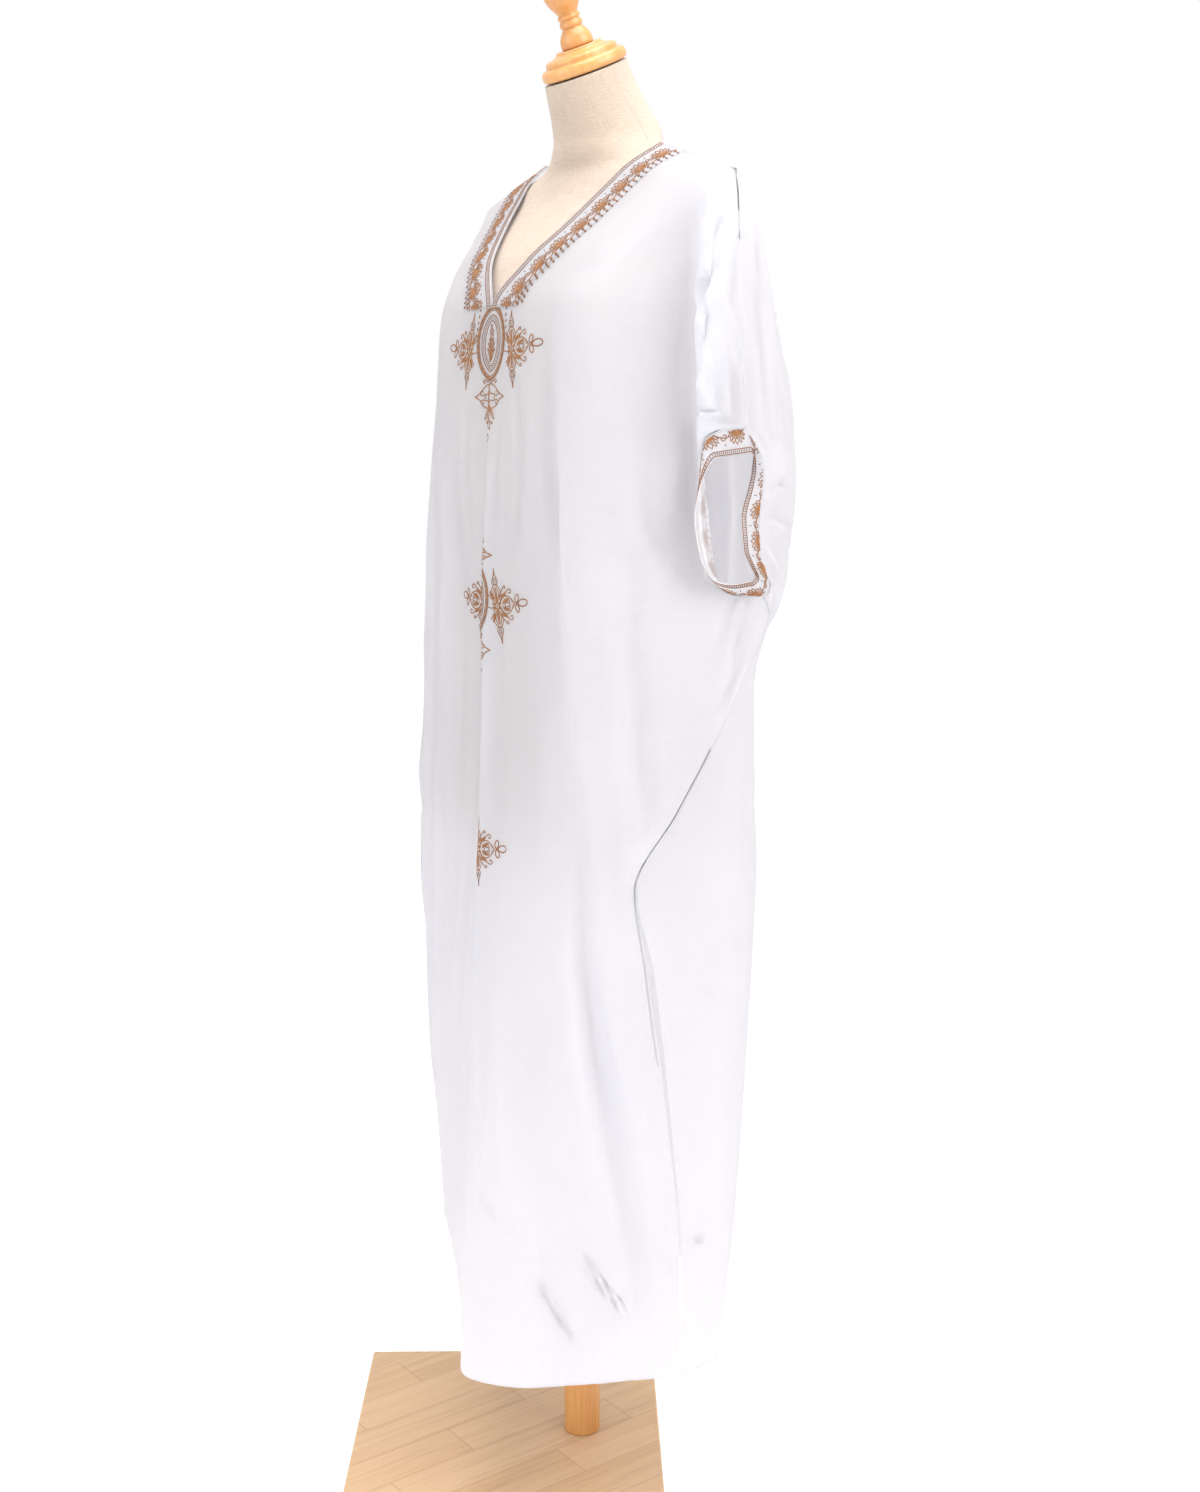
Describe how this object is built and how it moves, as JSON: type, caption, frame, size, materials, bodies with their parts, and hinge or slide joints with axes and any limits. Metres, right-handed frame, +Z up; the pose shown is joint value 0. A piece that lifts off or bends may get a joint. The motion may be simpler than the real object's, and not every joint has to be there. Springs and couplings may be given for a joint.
{
  "type": "kaftan dress on a limbless dress form",
  "caption": "Long white batwing kaftan dress with an embroidered V neck and cuffs, worn by a limbless linen dress form on a turned wooden pole stand.",
  "frame": {"origin": "underside of the base board, under the middle of the pole", "axes": "+Z up along the pole, -Y the way the wearer faces, +X the wearer's left"},
  "size_m": [0.5684, 0.5185, 1.7328],
  "materials": {
    "cloth": "soft plain weave",
    "border": "embroidered plain weave",
    "linen": "matte linen",
    "wood": "satin varnish",
    "pale_wood": "satin varnish"
  },
  "bodies": {
    "root": {"front_panel": "cloth", "back_panel": "cloth", "cuff_band_left": "border", "cuff_band_right": "border", "neck_band_left": "border", "neck_band_right": "border", "form_body": "linen", "neck_cap": "wood", "finial": "wood", "pole": "wood", "base_board": "pale_wood"}
  },
  "joints": []
}
